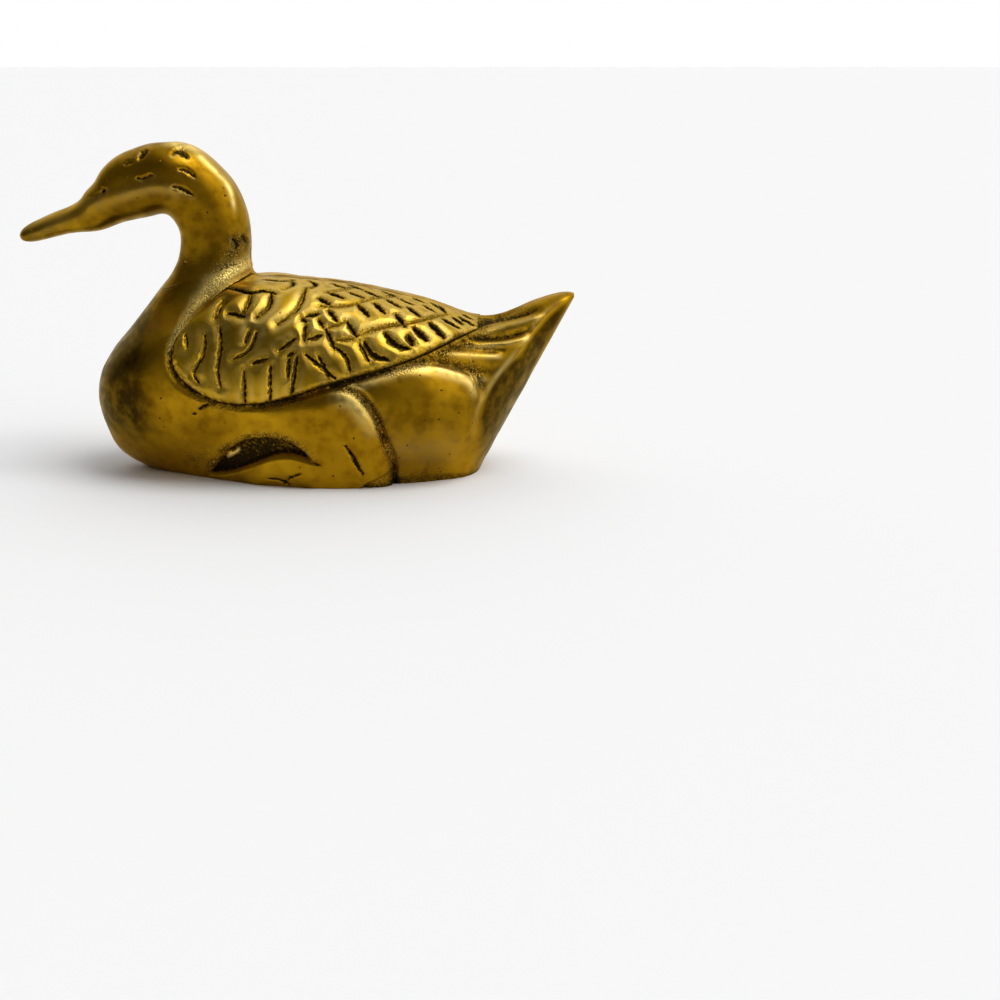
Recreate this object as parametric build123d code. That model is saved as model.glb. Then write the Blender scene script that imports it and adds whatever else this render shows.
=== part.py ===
from build123d import *

import os
from collections import namedtuple
from math import cos, pi, radians, sin

from scipy.interpolate import CubicSpline

# A hollow brass duck ornament, facing -X and standing on the rim of its open underside at Z = 0.
# It is brazed up from a left and a right hull casting, a solid head and neck, and two set-in wings.

# Overall size, in millimetres
overall_length = 140.0
overall_height = 83.0

# Bill
bill_length = 19.2
bill_width = 11.5
bill_depth = 5.5
bill_tip_height = 59.8
bill_root_height = 66.0

# Head: the crown and nape are drawn as an arc about the throat
head_radius = 18.5
head_width = 20.0
throat_setback = 39.0

# Seat of the neck, where it is brazed to the hull, and the neck where it is narrowest, both measured square across
seat_depth = 24.5
seat_width = 20.6
seat_advance = 11.8
seat_drop = 0.4
seat_tilt = 16.8
neck_depth = 20.6
neck_width = 18.0
neck_rise = 5.1
neck_shift = 2.1
neck_tilt = 19.2

# Hull: a full oval form that is cut off flat at the base
hull_width = 54.0
back_height = 50.2
rump_height = 39.6
rump_setback = 24.0
shoulder_setback = 58.0
breast_setback = 18.0
breast_height = 16.0
breast_reach = 14.5
breast_rise = 22.5
breast_fall = 17.0
base_front = 34.0
stern_setback = 24.0

# Tail
tail_height = 45.3
tail_root_width = 37.0
tail_tip_width = 3.2
tail_tip_depth = 1.1

# Castings and brazed joints
wall = 4.0
seam_gap = 0.6
neck_braze_gap = 0.6
spigot_radius = 5.5
spigot_length = 13.0
spigot_clearance = 0.1

# Wings: plaques set into the hull, each standing a little proud of it
wing_setback = 22.9
wing_length = 74.6
wing_shoulder_height = 32.4
wing_low_height = 21.6
wing_low_share = 0.23
wing_tip_height = 37.7
wing_neck_gap = 1.5
wing_top_gap = 1.8
wing_rise = 0.8
wing_recess = 1.4
wing_clearance = 0.2

# Feathers chased into the wings: rows of slanting cuts, steep at the shoulder and flat at the tip
feather_row_count = 3
feather_pitch = 6.8
feather_length = 6.2
feather_width = 1.5
feather_depth = 1.0
feather_front_gap = 13.0
feather_tip_gap = 12.0
feather_front_slant = -86.0
feather_tip_slant = -38.0

# Chisel lines cut into the hull: behind the thigh and over the flank
line_depth = 1.1
line_width = 2.4
thigh_setback = 64.6
thigh_length = 12.4
thigh_height = 26.2
flank_length = 20.5
flank_height = 30.8
flank_round = 6.0

# Flutes of the tail, fanned out from a point under the wing tip
flute_count = 3
flute_width = 2.2
fan_setback = 12.0
fan_drop = 4.0
fan_root = 14.0
fan_upper_reach = 27.0
fan_lower_reach = 19.0
fan_upper_angle = 8.0
fan_lower_angle = -22.0

# Hollow between the thigh and the leg that is tucked under it
pocket_setback = 31.1
pocket_length = 28.5
pocket_foot = 3.4
pocket_height = 13.2
pocket_depth = 2.2
leg_height = 9.4

# Landmarks in the side view, as (x, z)
bill_tip_x = -overall_length / 2
tail_tip_x = overall_length / 2
throat = (bill_tip_x + throat_setback, overall_height - head_radius)
rump_x = tail_tip_x - rump_setback
shoulder_x = bill_tip_x + shoulder_setback
breast_x = bill_tip_x + breast_setback
front_foot_x = bill_tip_x + base_front
stern_foot_x = tail_tip_x - stern_setback
seat_middle = (shoulder_x - seat_advance, back_height - seat_drop)
neck_middle = (seat_middle[0] + neck_shift, seat_middle[1] + neck_rise)

# One cross-section. It lies in the plane through its top and foot points, square to the centre plane.
# widest is how far down the half width is reached, and upper and lower are the powers of its two quarters.
Section = namedtuple("Section", "top foot half_width widest upper lower")


def mix(start, end, share):
    """The value at a share of the way from start to end."""
    return start + (end - start) * share


def between(start, end, share):
    """The point at a share of the way from start to end, both as (x, z)."""
    return mix(start[0], end[0], share), mix(start[1], end[1], share)


def bill_sections():
    """Tip to root: share along the bill, depth and half width as shares of the bill's own."""
    rows = [
        (0.00, 0.22, 0.30), (0.02, 0.42, 0.56), (0.09, 0.71, 0.79),
        (0.28, 0.93, 0.96), (0.57, 1.08, 1.00), (0.93, 1.60, 1.08),
    ]
    for along, depth, width in rows:
        x = bill_tip_x + along * bill_length
        z = mix(bill_tip_height, bill_root_height, along)
        rise = depth * bill_depth / 2
        lean = rise / 2
        yield Section((x, z + rise), (x + lean, z - rise), width * bill_width / 2, 0.6, 2.2, 2.6)


def head_sections():
    """Brow to nape: angle and reach of the top about the throat, place of the foot, and half width."""
    rows = [
        (146.0, 1.135, -0.715, -0.080, 0.78),
        (119.0, 1.050, -0.355, -0.005, 0.96),
        (85.0, 0.985, -0.055, 0.005, 1.00),
        (47.5, 0.925, 0.085, -0.185, 0.95),
        (6.5, 0.985, 0.070, -0.440, 0.90),
    ]
    for angle, reach, foot_x, foot_z, width in rows:
        arm = reach * head_radius
        top = (throat[0] + arm * cos(radians(angle)), throat[1] + arm * sin(radians(angle)))
        foot = (throat[0] + foot_x * head_radius, throat[1] + foot_z * head_radius)
        yield Section(top, foot, width * head_width / 2, 0.53, 2.5, 2.3)


def neck_sections():
    """The narrowest place of the neck, and the seat where the neck is brazed to the hull."""
    rows = [(neck_middle, neck_depth, neck_tilt, neck_width), (seat_middle, seat_depth, seat_tilt, seat_width)]
    for middle, depth, tilt, width in rows:
        half_x = depth / 2 * cos(radians(tilt))
        half_z = depth / 2 * sin(radians(tilt))
        top = (middle[0] + half_x, middle[1] + half_z)
        foot = (middle[0] - half_x, middle[1] - half_z)
        yield Section(top, foot, width / 2, 0.48, 2.4, 2.3)


def back_point(share):
    """A point of the back line, which falls with the square of the way from shoulder to rump."""
    return mix(shoulder_x, rump_x, share), mix(back_height, rump_height, share**2)


def breast_point(angle):
    """A point of the breast line, an upright oval about a centre behind the breast's foremost point."""
    x = breast_x + breast_reach - breast_reach * cos(radians(angle))
    return x, breast_height + (breast_rise if angle > 0 else breast_fall) * sin(radians(angle))


def breast_sections():
    """Shoulder to the front of the base: share along the back, angle on the breast, half width, lower power."""
    rows = [(0.03, 67.0, 0.54, 2.5), (0.10, 31.0, 0.74, 2.4), (0.21, -2.0, 0.87, 2.1), (0.33, -45.0, 0.96, 1.7)]
    for share, angle, width, lower in rows:
        yield Section(back_point(share), breast_point(angle), width * hull_width / 2, 0.50, 2.2, lower)


def base_sections():
    """Front to back: shares along the back and the base, reach below the base, half width, widest, lower power."""
    rows = [
        (0.42, 0.05, 1.06, 1.00, 0.46, 1.5),
        (0.52, 0.31, 1.28, 1.00, 0.42, 1.75),
        (0.67, 0.69, 1.42, 0.97, 0.40, 2.1),
        (0.83, 0.90, 1.28, 0.83, 0.42, 2.0),
    ]
    for share, along, reach, width, widest, lower in rows:
        top = back_point(share)
        base = (mix(front_foot_x, stern_foot_x, along), 0.0)
        yield Section(top, between(top, base, reach), width * hull_width / 2, widest, 2.2, lower)


def tail_sections():
    """Rump to tail tip: shares along and up the top line, share up the stern, half width, and widest."""
    rows = [
        (-0.10, 0.05, 0.02, 1.00, 0.50),
        (0.17, 0.02, 0.26, 0.73, 0.50),
        (0.46, 0.46, 0.52, 0.47, 0.45),
        (0.75, 0.90, 0.76, 0.25, 0.40),
        (0.95, 1.03, 0.94, 0.10, 0.40),
        (1.00, 0.98, 1.00, 0.00, 0.45),
    ]
    stern_foot = (stern_foot_x, 0.0)
    stern_end = (tail_tip_x, tail_height - tail_tip_depth)
    for along, up, stern, width, widest in rows:
        top = (mix(rump_x, tail_tip_x, along), mix(rump_height, tail_height, up))
        half_width = mix(tail_tip_width, tail_root_width, width) / 2
        yield Section(top, between(stern_foot, stern_end, stern), half_width, widest, 2.2, 1.9)


head_rows = [*bill_sections(), *head_sections()]
neck_rows = [*neck_sections()]
hull_rows = [*breast_sections(), *base_sections()]
tail_rows = [*tail_sections()]
seat_row = neck_rows[-1]
all_rows = head_rows + neck_rows + hull_rows + tail_rows

# Every value of the cross-sections runs from bill to tail as a smooth curve through the rows above.
# The rows are spaced by the steps between their middles, with the long steps drawn in a little.
spacing_power = 0.75
middles = [Vector(*between(row.top, row.foot, 0.5)) for row in all_rows]
steps = [(after - before).length ** spacing_power for before, after in zip(middles, middles[1:])]
stations = [sum(steps[:count]) / sum(steps) for count in range(len(all_rows))]
laws = CubicSpline(stations, [[*row.top, *row.foot, *row[2:]] for row in all_rows], bc_type="natural")

# Stations where the pieces begin and end
seat_station = stations[len(head_rows) + len(neck_rows) - 1]
hollow_front = stations[len(head_rows) + len(neck_rows)]
hollow_back = stations[1 - len(tail_rows)]
relief_back = stations[-2]


def section_at(station):
    """The cross-section at a station between the bill tip, 0, and the tail tip, 1."""
    top_x, top_z, foot_x, foot_z, *girth = [float(value) for value in laws(station)]
    return Section((top_x, top_z), (foot_x, foot_z), *girth)


def inset(row, depth):
    """The same cross-section with its outline moved in by a depth, or out by a negative one."""
    span = (Vector(*row.foot) - Vector(*row.top)).length
    return row._replace(
        top=between(row.top, row.foot, depth / span),
        foot=between(row.foot, row.top, depth / span),
        half_width=row.half_width - depth,
    )


def outline(row):
    """The left side of a cross-section, carried a little past the centre plane at top and foot and closed there."""
    span_count = 8

    def cheek_point(step):
        turn = pi * step / span_count
        upper = cos(turn) > 0
        power = 2 / (row.upper if upper else row.lower)
        fall = 1 - abs(cos(turn)) ** power
        down = row.widest * fall if upper else 1 - (1 - row.widest) * fall
        out = row.half_width * abs(sin(turn)) ** power
        x, z = between(row.top, row.foot, down)
        return Vector(x, -out if 0 <= step <= span_count else out, z)

    points = [cheek_point(step) for step in range(-1, span_count + 2)]
    knots = [count / (len(points) - 1) for count in range(len(points))]
    cheek = Edge.make_spline(points, parameters=knots)
    return Wire([cheek, Edge.make_line(points[-1], points[0])])


def skin(start, end, depth=0.0):
    """The left half of the form between two stations, moved in by a depth."""
    section_step = 1 / 48
    count = max(round((end - start) / section_step), 8)
    rows = [section_at(mix(start, end, number / count)) for number in range(count + 1)]
    form = Solid.make_loft([outline(inset(row, depth)) for row in rows])
    return split(form, bisect_by=Plane.XZ, keep=Keep.TOP)


def both_sides(half):
    """A left half joined to its mirror image."""
    return half + mirror(half, about=Plane.XZ)


def side_prism(face, start=0.0):
    """A face drawn in the side view, carried out through the left side from start off the centre plane."""
    return extrude(Plane.XZ.offset(start) * face, amount=hull_width)


def chisel_line(points, width):
    """A cut in the side view: it runs through the points and tapers to nothing at both ends."""
    upper = [points[0]]
    lower = [points[0]]
    for before, here, after in zip(points, points[1:], points[2:]):
        run = Vector(after) - Vector(before)
        side = Vector(-run.Y, run.X).normalized() * (width / 2)
        upper.append(Vector(here) + side)
        lower.append(Vector(here) - side)
    return make_face([Spline(*upper, points[-1]), Spline(*lower, points[-1])])


# Left half of the whole outer form, and the seat plane of the neck, which looks up the neck
envelope = skin(0, 1)
seat_top = Vector(seat_row.top[0], 0, seat_row.top[1])
seat_foot = Vector(seat_row.foot[0], 0, seat_row.foot[1])
seat_along = (seat_top - seat_foot).normalized()
seat_plane = Plane(origin=(seat_top + seat_foot) / 2, x_dir=seat_along, z_dir=seat_along.cross(Vector(0, 1, 0)))
head_plane = seat_plane.offset(neck_braze_gap)

# Head and neck, with the spigot that enters the hull
hanging = (Align.CENTER, Align.CENTER, Align.MAX)
spigot = head_plane * Cylinder(spigot_radius, spigot_length, align=hanging)
bore = head_plane * Cylinder(spigot_radius + spigot_clearance, spigot_length + wall, align=hanging)
head_and_neck = both_sides(split(envelope, bisect_by=head_plane, keep=Keep.TOP)) + spigot

# Ring of braze between the neck and the hull
below_head = split(envelope, bisect_by=head_plane, keep=Keep.BOTTOM)
neck_braze_ring = both_sides(split(below_head, bisect_by=seat_plane, keep=Keep.TOP)) - bore

# Left side of the hull with its hollow inside, and the braze in the seam between the two sides
hull = split(split(below_head, bisect_by=seat_plane, keep=Keep.BOTTOM), bisect_by=Plane.XY, keep=Keep.TOP)
hull = hull - skin(hollow_front, hollow_back, wall) - bore
seam_face = Plane.XZ.offset(seam_gap / 2)
breast_seam_braze, back_seam_braze = (
    both_sides(split(hull, bisect_by=seam_face, keep=Keep.BOTTOM)).solids().sort_by(Axis.X)
)
left_half = split(hull, bisect_by=seam_face, keep=Keep.TOP)

# Wing and the recess that it is set in
wing_front_x = breast_x + wing_setback
wing_tip_x = wing_front_x + wing_length
wing_top_x = seat_row.top[0] + wing_neck_gap


def wing_prism(margin):
    """The wing's outline with a margin round it: from the neck, round the shoulder and along the flank to the tip."""
    front_x = wing_front_x - margin
    low = wing_low_height - margin
    top = (wing_top_x - margin, back_height + wing_rise)
    tip = (wing_tip_x + margin, wing_tip_height - margin)
    edge = Spline(
        top,
        (mix(front_x, top[0], 0.47), mix(wing_shoulder_height, top[1], 0.70)),
        (front_x, wing_shoulder_height),
        (mix(front_x, tip[0], 0.05), mix(low, wing_shoulder_height, 0.45)),
        (mix(front_x, tip[0], wing_low_share), low),
        (mix(front_x, tip[0], 0.52), mix(low, tip[1], 0.33)),
        (mix(front_x, tip[0], 0.90), mix(low, tip[1], 0.84)),
        tip,
    )
    over_back = Polyline(tip, (tip[0], overall_height), (top[0], overall_height), top)
    return side_prism(make_face([edge, over_back]), wing_top_gap - margin)


left_wing = (wing_prism(0) & skin(seat_station, relief_back, -wing_rise)) - skin(seat_station, relief_back, wing_recess)


def feather_cut(x, row):
    """One feather cut at a place along the wing. The rows are counted up from the wing's lower edge to its back."""
    along = (x - wing_front_x) / wing_length
    climb = max(along - wing_low_share, 0) / (1 - wing_low_share)
    low = mix(wing_low_height, wing_tip_height, climb**1.15)
    high = back_point((x - shoulder_x) / (rump_x - shoulder_x))[1]
    middle = Vector(x, mix(low, high, (row + 0.7) / (feather_row_count + 1.1)))
    shortened = mix(0.5, 1, (high - low) / (back_height - wing_low_height))
    slant = radians(mix(feather_front_slant, feather_tip_slant, along))
    reach = Vector(cos(slant), sin(slant)) * (shortened * feather_length / 2)
    stops = [middle + reach * part for part in (-1, -0.35, 0.35, 1)]
    return chisel_line([(stop.X, stop.Y) for stop in stops], feather_width)


# The cuts keep their pitch along each row, and every other row is shifted by half of it
feather_faces = []
for row in range(feather_row_count):
    x = wing_front_x + feather_front_gap + feather_pitch * (row % 2) / 2
    while x < wing_tip_x - feather_tip_gap:
        feather_faces.append(feather_cut(x, row))
        x += feather_pitch
feather_floor = skin(seat_station, relief_back, feather_depth - wing_rise)
left_wing = left_wing - [side_prism(face) - feather_floor for face in feather_faces]
recess = wing_prism(wing_clearance) - skin(seat_station, relief_back, wing_recess + wing_clearance)

# Pocket over the leg: a crescent between two arcs
pocket_x = breast_x + pocket_setback
pocket_end_x = pocket_x + pocket_length
pocket_middle_x = mix(pocket_x, pocket_end_x, 0.5)
pocket_arcs = [
    ThreePointArc((pocket_x, pocket_foot), (pocket_middle_x, height), (pocket_end_x, pocket_foot))
    for height in (pocket_height, leg_height)
]
pocket = side_prism(make_face(pocket_arcs)) - skin(seat_station, relief_back, pocket_depth)

# Line behind the thigh, a quarter oval that runs out at the base, and line over the flank
thigh_x = breast_x + thigh_setback
thigh_turns = [radians(turn) for turn in range(80, -15, -15)]
thigh_points = [(thigh_x + thigh_length * cos(turn), thigh_height * sin(turn)) for turn in thigh_turns]
flank_x = thigh_x + thigh_length
flank_end_x = flank_x + flank_length
flank_points = [
    (flank_x, flank_height - flank_round / 4),
    (mix(flank_x, flank_end_x, 0.35), flank_height),
    (flank_end_x - flank_round / 2, flank_height - flank_round / 4),
    (flank_end_x, flank_height - flank_round),
]

# Flutes of the tail
fan_centre = Vector(wing_tip_x - fan_setback, wing_tip_height - fan_drop)


def flute(share):
    """One flute, at a share of the way down the fan."""
    turn = radians(mix(fan_upper_angle, fan_lower_angle, share))
    ray = Vector(cos(turn), sin(turn))
    reach = mix(fan_upper_reach, fan_lower_reach, share)
    stops = [fan_centre + ray * mix(fan_root, reach, part) for part in (0, 0.35, 0.7, 1)]
    return chisel_line([(stop.X, stop.Y) for stop in stops], flute_width)


flutes = [flute(number / (flute_count - 1)) for number in range(flute_count)]
line_floor = skin(seat_station, relief_back, line_depth)
line_faces = [chisel_line(thigh_points, line_width), chisel_line(flank_points, line_width), *flutes]
left_half = left_half - recess - pocket - [side_prism(face) - line_floor for face in line_faces]

nodes = {
    "left_body_half": left_half,
    "right_body_half": mirror(left_half, about=Plane.XZ),
    "head_and_neck": head_and_neck,
    "left_wing": left_wing,
    "right_wing": mirror(left_wing, about=Plane.XZ),
    "breast_seam_braze": breast_seam_braze,
    "back_seam_braze": back_seam_braze,
    "neck_braze_ring": neck_braze_ring,
}
os.makedirs("parts", exist_ok=True)
for name, piece in nodes.items():
    export_step(piece, f"parts/{name}.step")
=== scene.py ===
import bpy
import numpy as np
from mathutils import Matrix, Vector


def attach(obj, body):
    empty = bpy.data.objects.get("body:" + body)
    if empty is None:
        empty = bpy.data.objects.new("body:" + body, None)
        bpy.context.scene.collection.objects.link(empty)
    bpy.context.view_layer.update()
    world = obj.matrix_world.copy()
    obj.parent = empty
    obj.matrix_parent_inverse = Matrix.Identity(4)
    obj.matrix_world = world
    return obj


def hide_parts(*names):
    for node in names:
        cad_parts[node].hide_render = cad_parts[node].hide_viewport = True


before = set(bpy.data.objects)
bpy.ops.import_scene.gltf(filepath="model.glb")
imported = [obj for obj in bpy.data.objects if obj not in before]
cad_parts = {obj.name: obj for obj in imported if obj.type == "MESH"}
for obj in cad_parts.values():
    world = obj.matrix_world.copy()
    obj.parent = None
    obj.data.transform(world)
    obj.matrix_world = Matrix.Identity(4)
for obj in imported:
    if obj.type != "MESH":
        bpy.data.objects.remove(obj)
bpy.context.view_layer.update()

# Body: two hollow castings of yellow brass, left and right, filed to one smooth form and open underneath.
# The thigh, the leg tucked under it, the flank and the tail are modelled in the casting, and the lines
# round them are cut in with a chisel. Each side has a shallow bed for its wing.
mm = 0.001
bill_tip_x = -70.0
tail_tip_x = 70.0
shoulder_x = bill_tip_x + 58.0
rump_x = tail_tip_x - 24.0
stern_foot_x = tail_tip_x - 24.0
back_z = 50.2
rump_z = 39.6
back_dressing = 0.45
hull_width = 54.0
wall = 4.0
half_seam = 0.3


def mix(start, end, share):
    """The value at a share of the way from start to end."""
    return start + (end - start) * share


def unit(vectors):
    """Vectors scaled to a length of 1."""
    return vectors / np.maximum(np.linalg.norm(vectors, axis=-1, keepdims=True), 1e-9)


def section_rows(top_x, top_z, foot_x, foot_z, half_width, widest, upper, lower):
    """Cross-sections, one a row: top and foot in the side view, half width, and how round each quarter is."""
    columns = np.broadcast_arrays(top_x, top_z, foot_x, foot_z, half_width, widest, upper, lower)
    return np.column_stack(columns)


def bill_and_head_rows():
    """Bill tip to nape: a tapering bill, then sections that fan round the throat with the crown on an arc."""
    bill_length = 19.2
    bill_width = 11.5
    bill_depth = 5.5
    bill_tip_z = 59.8
    bill_root_z = 66.0
    along, depth, width = np.array([
        (0.00, 0.22, 0.30), (0.02, 0.42, 0.56), (0.09, 0.71, 0.79),
        (0.28, 0.93, 0.96), (0.57, 1.08, 1.00), (0.93, 1.60, 1.08),
    ]).T
    x = bill_tip_x + bill_length * along
    z = mix(bill_tip_z, bill_root_z, along)
    rise = depth * bill_depth / 2
    bill = section_rows(x, z + rise, x + rise / 2, z - rise, width * bill_width / 2, 0.6, 2.2, 2.6)
    crown_z = 83.0
    head_radius = 18.5
    head_width = 20.0
    throat_x = bill_tip_x + 39.0
    throat_z = crown_z - head_radius
    angle, reach, foot_x, foot_z, width = np.array([
        (146.0, 1.135, -0.715, -0.080, 0.78), (119.0, 1.050, -0.355, -0.005, 0.96),
        (85.0, 0.985, -0.055, 0.005, 1.00), (47.5, 0.925, 0.085, -0.185, 0.95),
        (6.5, 0.985, 0.070, -0.440, 0.90),
    ]).T
    top_x = throat_x + reach * head_radius * np.cos(np.radians(angle))
    top_z = throat_z + reach * head_radius * np.sin(np.radians(angle))
    foot_x = throat_x + foot_x * head_radius
    foot_z = throat_z + foot_z * head_radius
    head_rows = section_rows(top_x, top_z, foot_x, foot_z, width * head_width / 2, 0.53, 2.5, 2.3)
    return np.vstack([bill, head_rows])


def neck_rows():
    """The narrowest place of the neck, and the seat where it is brazed to the body."""
    seat_x = shoulder_x - 11.8
    seat_z = back_z - 0.4
    x = seat_x + np.array([2.1, 0.0])
    z = seat_z + np.array([5.1, 0.0])
    half_depth = np.array([20.6, 24.5]) / 2
    half_width = np.array([18.0, 20.6]) / 2
    tilt = np.radians([19.2, 16.8])
    run = half_depth * np.cos(tilt)
    rise = half_depth * np.sin(tilt)
    return section_rows(x + run, z + rise, x - run, z - rise, half_width, 0.48, 2.4, 2.3)


def hull_rows():
    """Breast and middle: tops on the falling back line, feet round the breast and then below the base."""
    breast_x = bill_tip_x + 18.0
    breast_z = 16.0
    breast_reach = 14.5
    breast_rise = 22.5
    breast_fall = 17.0
    base_front_x = bill_tip_x + 34.0

    def back_line(share):
        return mix(shoulder_x, rump_x, share), mix(back_z, rump_z, share**2) - back_dressing

    share, angle, width, lower = np.array([
        (0.03, 67.0, 0.54, 2.5), (0.10, 31.0, 0.74, 2.4), (0.21, -2.0, 0.87, 2.1), (0.33, -45.0, 0.96, 1.7),
    ]).T
    foot_x = breast_x + breast_reach * (1 - np.cos(np.radians(angle)))
    foot_z = breast_z + np.where(angle > 0, breast_rise, breast_fall) * np.sin(np.radians(angle))
    breast = section_rows(*back_line(share), foot_x, foot_z, width * hull_width / 2, 0.50, 2.2, lower)
    share, along, reach, width, widest, lower = np.array([
        (0.42, 0.05, 1.06, 1.00, 0.46, 1.5), (0.52, 0.31, 1.28, 1.00, 0.42, 1.75),
        (0.67, 0.69, 1.42, 0.97, 0.40, 2.1), (0.83, 0.90, 1.28, 0.83, 0.42, 2.0),
    ]).T
    top_x, top_z = back_line(share)
    foot_x = mix(top_x, mix(base_front_x, stern_foot_x, along), reach)
    foot_z = mix(top_z, 0.0, reach)
    middle = section_rows(top_x, top_z, foot_x, foot_z, width * hull_width / 2, widest, 2.2, lower)
    return np.vstack([breast, middle])


def tail_rows():
    """Rump to tail tip: tops on the rising tail, feet up the slanting stern."""
    tail_z = 45.3
    stern_top_z = 44.2
    root_width = 37.0
    tip_width = 3.2
    along, up, stern, width, widest = np.array([
        (-0.10, 0.05, 0.02, 1.00, 0.50), (0.17, 0.02, 0.26, 0.73, 0.50), (0.46, 0.46, 0.52, 0.47, 0.45),
        (0.75, 0.90, 0.76, 0.25, 0.40), (0.95, 1.03, 0.94, 0.10, 0.40), (1.00, 0.98, 1.00, 0.00, 0.45),
    ]).T
    top_x = mix(rump_x, tail_tip_x, along)
    top_z = mix(rump_z, tail_z, up)
    foot_x = mix(stern_foot_x, tail_tip_x, stern)
    foot_z = mix(0.0, stern_top_z, stern)
    half_width = mix(tip_width, root_width, width) / 2
    return section_rows(top_x, top_z, foot_x, foot_z, half_width, widest, 2.2, 1.9)


def curve_through(knots, values):
    """Natural cubic spline: cubic pieces through the values whose slope and bend agree at every knot."""
    gap = np.diff(knots)
    inner = np.arange(1, len(knots) - 1)
    system = np.eye(len(knots))
    system[inner, inner - 1] = gap[:-1]
    system[inner, inner] = 2 * (gap[:-1] + gap[1:])
    system[inner, inner + 1] = gap[1:]
    load = np.zeros(values.shape)
    load[1:-1] = 6 * np.diff(np.diff(values, axis=0) / gap[:, None], axis=0)
    bend = np.linalg.solve(system, load)

    def at(place):
        span = np.clip(np.searchsorted(knots, place) - 1, 0, len(gap) - 1)
        after = ((place - knots[span]) / gap[span])[..., None]
        before = 1 - after
        sag = (before**3 - before) * bend[span] + (after**3 - after) * bend[span + 1]
        return before * values[span] + after * values[span + 1] + sag * (gap[span] ** 2)[..., None] / 6

    return at


spacing_power = 0.75
form_rows = np.vstack([bill_and_head_rows(), neck_rows(), hull_rows(), tail_rows()])
row_middles = (form_rows[:, 0:2] + form_rows[:, 2:4]) / 2
row_steps = np.linalg.norm(np.diff(row_middles, axis=0), axis=1) ** spacing_power
row_stations = np.append(0, np.cumsum(row_steps)) / row_steps.sum()
section_law = curve_through(row_stations, form_rows)
seat_row = len(bill_and_head_rows()) + 1
seat_station = row_stations[seat_row]
hollow_front = row_stations[seat_row + 1]
hollow_back = row_stations[1 - len(tail_rows())]


def form(station, turn, depth=0.0):
    """Point of the duck's skin: station runs from bill to tail, turn from the top down the left side.
    Each section is two half superellipses in the plane of its top and foot, joined at the widest place."""
    station, turn = np.broadcast_arrays(station, turn)
    top_x, top_z, foot_x, foot_z, half_width, widest, upper, lower = np.moveaxis(section_law(station), -1, 0)
    inset = depth / np.hypot(foot_x - top_x, foot_z - top_z)
    power = 2 / np.where(np.cos(turn) > 0, upper, lower)
    fall = 1 - np.abs(np.cos(turn)) ** power
    down = np.where(np.cos(turn) > 0, widest * fall, 1 - (1 - widest) * fall)
    down = inset + down * (1 - 2 * inset)
    out = (half_width - depth) * np.abs(np.sin(turn)) ** power
    y = -np.sign(np.sin(turn)) * out
    return np.stack([mix(top_x, foot_x, down), y, mix(top_z, foot_z, down)], axis=-1)


def ease(value):
    """Smooth step from 0 to 1."""
    value = np.clip(value, 0, 1)
    return value * value * (3 - 2 * value)


def along_line(points, share):
    """Places at shares of the way along a smooth curve through points."""
    points = np.array(points, float)
    knots = np.append(0, np.cumsum(np.linalg.norm(np.diff(points, axis=0), axis=1)))
    return curve_through(knots, points)(share * knots[-1])


def beside(across, down, points, count):
    """Distance from each place to a smooth curve through points, its side, left being 1, and share along.
    The curve is followed in straight steps between a count of places on it."""
    curve = along_line(points, np.linspace(0, 1, count))
    nearest = np.full(across.shape, np.inf)
    side = np.zeros(across.shape)
    way = np.zeros(across.shape)
    for number, (start, end) in enumerate(zip(curve, curve[1:])):
        run = end - start
        share = np.clip(((across - start[0]) * run[0] + (down - start[1]) * run[1]) / (run @ run), 0, 1)
        gap = np.hypot(across - start[0] - share * run[0], down - start[1] - share * run[1])
        turn = np.sign(run[0] * (down - start[1]) - run[1] * (across - start[0]))
        nearer = gap < nearest
        nearest = np.where(nearer, gap, nearest)
        side = np.where(nearer, turn, side)
        way = np.where(nearer, (number + share) / (count - 1), way)
    return nearest, side, way


def uneven(across, down, size):
    """Unevenness of hand work, from -1 to 1: three crossed waves of about a size, each bent by another."""
    across = across / size
    down = down / size
    first = np.sin(2.1 * across + 1.3 * np.sin(1.7 * down))
    second = np.sin(2.9 * down + 1.9 * np.sin(1.1 * across + 0.4))
    third = np.sin(3.7 * across + 3.1 * down + 0.8 * np.sin(2.3 * down - across))
    return (first + second + third) / 3


def hump(value, middle, breadth):
    """Bell curve that is 1 at its middle."""
    return np.exp(-((value - middle) / breadth) ** 2)


def spot(across, down, middle, size):
    """Soft spot: the product of a bell curve each way."""
    return hump(across, middle[0], size[0]) * hump(down, middle[1], size[1])


def between(value, start, end, rise, fall):
    """Soft window: 0 up to start and from end on, 1 inside, with smooth steps of the widths rise and fall."""
    return ease((value - start) / rise) * ease((end - value) / fall)


wing_edge = [
    (-10.6, 51.0), (-14.5, 49.2), (-19.6, 46.1), (-24.0, 42.0), (-27.3, 38.0), (-28.9, 34.4), (-29.0, 31.1),
    (-27.6, 28.3), (-24.1, 25.4), (-19.6, 23.0), (-14.8, 21.8), (-9.0, 21.8), (-3.2, 22.8), (3.3, 24.6),
    (9.8, 26.8), (18.0, 28.9), (25.9, 31.0), (32.3, 33.0), (38.7, 35.4), (45.5, 37.7),
]
wing_end_x = 45.5
thigh_line = [
    (-9.0, 20.4), (0.0, 22.4), (4.9, 23.9), (9.4, 25.2), (13.2, 25.4), (16.6, 23.9), (19.2, 20.8),
    (21.1, 17.3), (22.5, 13.1), (23.6, 8.2), (24.3, -1.0),
]
flank_line = [
    (16.3, 27.4), (21.1, 29.2), (26.8, 30.6), (32.3, 30.9), (37.2, 30.0), (41.2, 28.5), (44.5, 26.6),
    (45.7, 24.0), (45.9, 21.1), (45.2, 14.0), (43.0, 4.0),
]
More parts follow.
